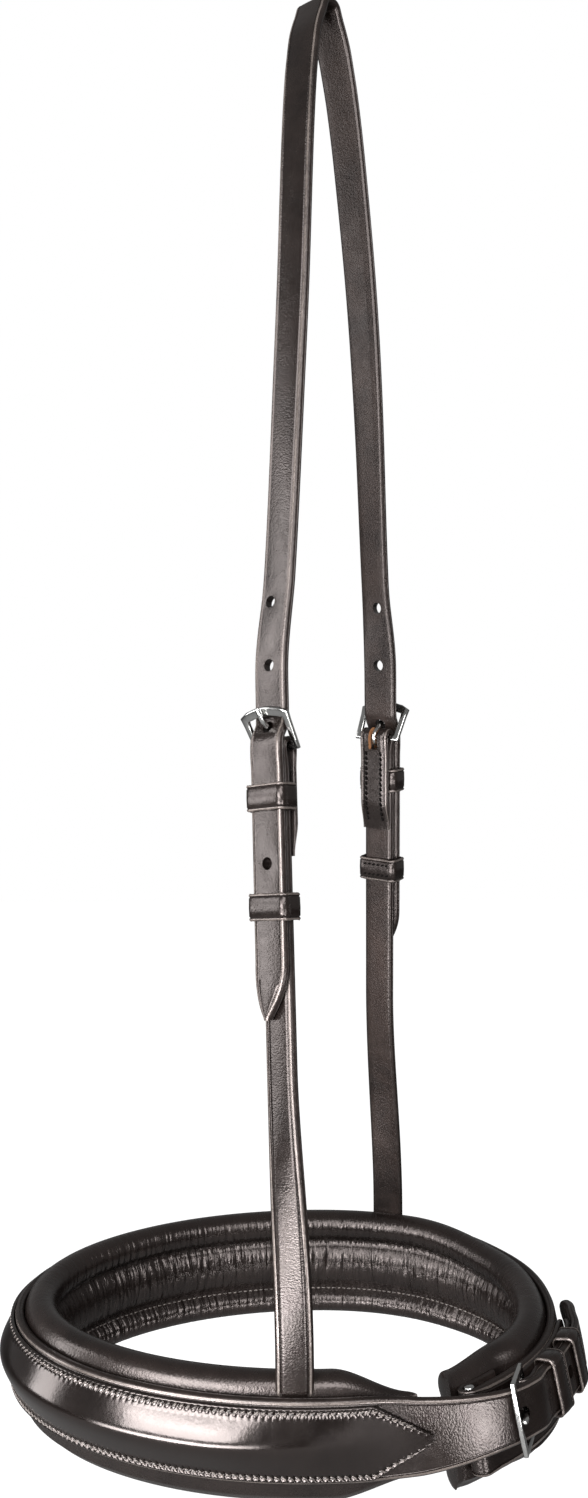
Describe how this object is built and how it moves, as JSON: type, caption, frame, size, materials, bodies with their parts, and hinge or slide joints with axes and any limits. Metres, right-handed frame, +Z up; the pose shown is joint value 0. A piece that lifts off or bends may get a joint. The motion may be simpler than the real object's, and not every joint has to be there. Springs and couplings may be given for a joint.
{
  "type": "padded bridle noseband",
  "caption": "Padded raised leather noseband on its own headstrap, hung from the crown, with cheek buckles, keepers, sliding runners and a buckled chin strap.",
  "frame": {"origin": "middle of the flat underside of the headstrap's crown, where the part is hung", "axes": "+Z up along the hanging headstrap, -Y toward the nose end of the loop, +Y toward the chin, +X toward the horse's near (left) side"},
  "size_m": [0.1677, 0.2347, 0.5724],
  "materials": {
    "strap_leather": "semi-gloss, finely grained",
    "facing_leather": "gloss, smooth",
    "lining_leather": "soft satin with cross wrinkles",
    "polished_steel": "polished",
    "foam": "matt, hidden"
  },
  "bodies": {
    "strapwork": {"headstrap": "strap_leather", "near_cheek_strap": "strap_leather", "near_fixed_keeper": "strap_leather", "far_cheek_strap": "strap_leather", "far_fixed_keeper": "strap_leather", "noseband_strap": "strap_leather", "nose_cover": "facing_leather", "nose_filler": "foam", "padded_lining": "lining_leather", "top_roll_core": "foam", "centre_roll_core": "foam", "bottom_roll_core": "foam", "chin_end_pin": "polished_steel", "chin_chape": "strap_leather", "chin_first_keeper": "strap_leather", "chin_second_keeper": "strap_leather"},
    "near_frame": {"near_buckle_frame": "polished_steel"},
    "near_tongue": {"near_buckle_tongue": "polished_steel"},
    "near_slider": {"near_runner": "strap_leather"},
    "far_frame": {"far_buckle_frame": "polished_steel"},
    "far_tongue": {"far_buckle_tongue": "polished_steel"},
    "far_slider": {"far_runner": "strap_leather"},
    "chin_frame": {"chin_buckle_frame": "polished_steel"},
    "chin_tongue": {"chin_buckle_tongue": "polished_steel"}
  },
  "joints": [
    {"name": "near_frame_hinge", "type": "hinge", "parent": "strapwork", "child": "near_frame", "pos_m": [0.03753, -0.01798, -0.30116], "axis": [0.6841, 0.7212, 0.109], "range_deg": [-1.5, 4]},
    {"name": "near_tongue_hinge", "type": "hinge", "parent": "near_frame", "child": "near_tongue", "pos_m": [0.03753, -0.01798, -0.30116], "axis": [0.6841, 0.7212, 0.109], "range_deg": [0, 3]},
    {"name": "near_runner_slide", "type": "slide", "parent": "strapwork", "child": "near_slider", "axis": [0.1361, 0.021, -0.9905], "range_m": [-0.012, 0.03]},
    {"name": "far_frame_hinge", "type": "hinge", "parent": "strapwork", "child": "far_frame", "pos_m": [-0.0374, 0.0285, -0.29623], "axis": [-0.6072, -0.7913, 0.072], "range_deg": [-1.5, 4]},
    {"name": "far_tongue_hinge", "type": "hinge", "parent": "far_frame", "child": "far_tongue", "pos_m": [-0.0374, 0.0285, -0.29623], "axis": [-0.6072, -0.7913, 0.072], "range_deg": [0, 3]},
    {"name": "far_runner_slide", "type": "slide", "parent": "strapwork", "child": "far_slider", "axis": [-0.1369, 0.015, -0.9905], "range_m": [-0.012, 0.03]},
    {"name": "chin_frame_hinge", "type": "hinge", "parent": "strapwork", "child": "chin_frame", "pos_m": [0.06166, 0.0712, -0.53673], "axis": [-0.102, -0.181, 0.9782], "range_deg": [-1.5, 4]},
    {"name": "chin_tongue_hinge", "type": "hinge", "parent": "chin_frame", "child": "chin_tongue", "pos_m": [0.06166, 0.0712, -0.53673], "axis": [-0.102, -0.181, 0.9782], "range_deg": [0, 3]}
  ]
}
